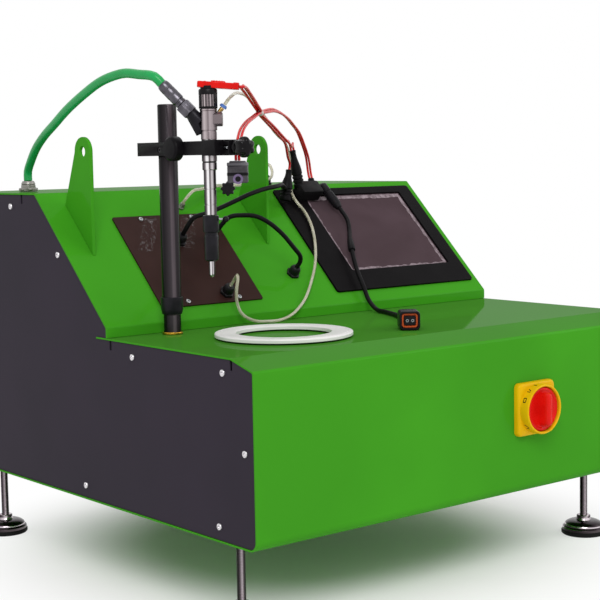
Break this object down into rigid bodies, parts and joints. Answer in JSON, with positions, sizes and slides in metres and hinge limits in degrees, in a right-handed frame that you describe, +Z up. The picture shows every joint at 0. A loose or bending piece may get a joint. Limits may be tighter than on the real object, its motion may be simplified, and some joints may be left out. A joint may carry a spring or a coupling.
{
  "type": "common rail injector test bench",
  "caption": "Bench-top injector tester: folded steel cabinet on levelling feet, sloping console with screen, post and clamp arm holding an injector over the worktop.",
  "frame": {"origin": "centre of the bench's footprint at floor level, under the four feet", "axes": "+X to the operator's right along the front, +Y from the operator to the back of the bench, +Z up"},
  "size_m": [0.6324, 0.693, 0.6078],
  "materials": {
    "green_paint": "gloss enamel",
    "dark_paint": "satin powder coat",
    "brown_plate": "satin laminate",
    "black_plastic": "satin moulded",
    "black_steel": "blackened, semi-gloss",
    "screen": "dark touch panel",
    "yellow_plastic": "moulded, satin gloss",
    "red_plastic": "moulded, satin gloss",
    "bright_steel": "turned and polished",
    "chrome_foot": "plated",
    "brass": "turned",
    "blue_plastic": "moulded",
    "white_plastic": "smooth",
    "black_rubber": "satin",
    "green_hose": "smooth sleeve",
    "red_wire": "smooth insulation",
    "clear_tube": "clear flexible",
    "grey_plastic": "moulded",
    "cast_grey": "painted casting"
  },
  "bodies": {
    "cabinet": {"base_tray": "green_paint", "front_worktop_panel": "green_paint", "console_panel": "green_paint", "rear_panel": "green_paint", "left_side_panel": "dark_paint", "right_side_panel": "dark_paint", "left_cover_ear": "green_paint", "right_cover_ear": "green_paint", "switch_plate": "yellow_plastic", "switch_body": "black_plastic", "post": "black_steel", "post_base_ring": "brass", "post_stop_collar": "black_steel", "hose_port": "bright_steel", "control_plate": "brown_plate", "screen_bezel": "black_plastic", "screen_glass": "screen", "control_box": "black_plastic", "fan_frame": "black_plastic", "power_inlet": "black_plastic", "seat_gasket": "black_rubber", "seat_ring": "white_plastic", "drive_motor": "cast_grey", "high_pressure_pump": "cast_grey", "common_rail": "bright_steel", "oil_tank": "white_plastic", "high_pressure_hose": "green_hose", "boot_block": "black_rubber", "worktop_plug": "black_plastic", "signal_wires": "red_wire", "return_tube": "clear_tube", "sensor_tube": "clear_tube", "control_cable": "black_rubber", "sensor_cable": "black_rubber", "adapter_lead": "black_rubber"},
    "switch": {"switch_handle": "red_plastic"},
    "arm": {"clamp_arm": "black_steel", "injector_body": "bright_steel", "injector_coil_cap": "black_plastic", "injector_plug": "red_plastic", "injector_nozzle": "bright_steel", "nozzle_sleeve": "black_steel", "high_pressure_inlet": "black_steel", "hose_nut": "bright_steel", "hose_ferrule": "bright_steel", "return_union": "brass", "return_push_ring": "blue_plastic", "hanging_connector": "grey_plastic"},
    "set_screw": {"collar_screw": "bright_steel"},
    "jaw": {"clamp_jaw": "bright_steel"},
    "knob": {"clamp_screw": "bright_steel", "clamp_knob": "black_plastic"},
    "thumb_screw": {"sleeve_screw": "black_plastic"},
    "front_left_foot": {"foot_front_left": "chrome_foot"},
    "front_right_foot": {"foot_front_right": "chrome_foot"},
    "rear_left_foot": {"foot_rear_left": "chrome_foot"},
    "rear_right_foot": {"foot_rear_right": "chrome_foot"},
    "drive_shaft": {"shaft_coupling": "bright_steel"},
    "fan": {"fan_rotor": "black_plastic"},
    "cap": {"tank_cap": "black_plastic"}
  },
  "joints": [
    {"name": "main_switch_turn", "type": "hinge", "parent": "cabinet", "child": "switch", "pos_m": [0.104, -0.32385, 0.199], "axis": [0, 1, 0], "range_deg": [0, 90]},
    {"name": "arm_lift", "type": "slide", "parent": "cabinet", "child": "arm", "axis": [0, 0, 1], "range_m": [-0.05, 0.03], "deforming": ["high_pressure_hose", "signal_wires", "return_tube"]},
    {"name": "collar_screw_turn", "type": "hinge", "parent": "arm", "child": "set_screw", "pos_m": [-0.25, -0.05585, 0.514], "axis": [1, 0, 0], "range_deg": [0, 360]},
    {"name": "clamp_knob_turn", "type": "hinge", "parent": "arm", "child": "knob", "pos_m": [-0.236, -0.18785, 0.515], "axis": [0, -1, 0], "range_deg": [0, 720]},
    {"name": "jaw_slide", "type": "slide", "parent": "arm", "child": "jaw", "axis": [0, -1, 0], "range_m": [0, 0.0025]},
    {"name": "sleeve_screw_turn", "type": "hinge", "parent": "arm", "child": "thumb_screw", "pos_m": [-0.236, -0.13085, 0.4345], "axis": [0.769, -0.6392, 0], "range_deg": [0, 720]},
    {"name": "front_left_foot_adjust", "type": "slide", "parent": "cabinet", "child": "front_left_foot", "axis": [0, 0, 1], "range_m": [-0.012, 0.02]},
    {"name": "front_right_foot_adjust", "type": "slide", "parent": "cabinet", "child": "front_right_foot", "axis": [0, 0, 1], "range_m": [-0.012, 0.02]},
    {"name": "rear_left_foot_adjust", "type": "slide", "parent": "cabinet", "child": "rear_left_foot", "axis": [0, 0, 1], "range_m": [-0.012, 0.02]},
    {"name": "rear_right_foot_adjust", "type": "slide", "parent": "cabinet", "child": "rear_right_foot", "axis": [0, 0, 1], "range_m": [-0.012, 0.02]},
    {"name": "pump_drive_turn", "type": "hinge", "parent": "cabinet", "child": "drive_shaft", "pos_m": [0.015, 0.15215, 0.181], "axis": [1, 0, 0], "continuous": true},
    {"name": "fan_turn", "type": "hinge", "parent": "cabinet", "child": "fan", "pos_m": [-0.165, 0.32735, 0.382], "axis": [0, 1, 0], "continuous": true},
    {"name": "tank_cap_turn", "type": "hinge", "parent": "cabinet", "child": "cap", "pos_m": [0.225, -0.13485, 0.261], "axis": [0, 0, 1], "range_deg": [0, 90]}
  ],
  "couplings": [
    {"joint": "clamp_knob_turn", "follows": "jaw_slide", "rad_per_m": 5026.5}
  ]
}
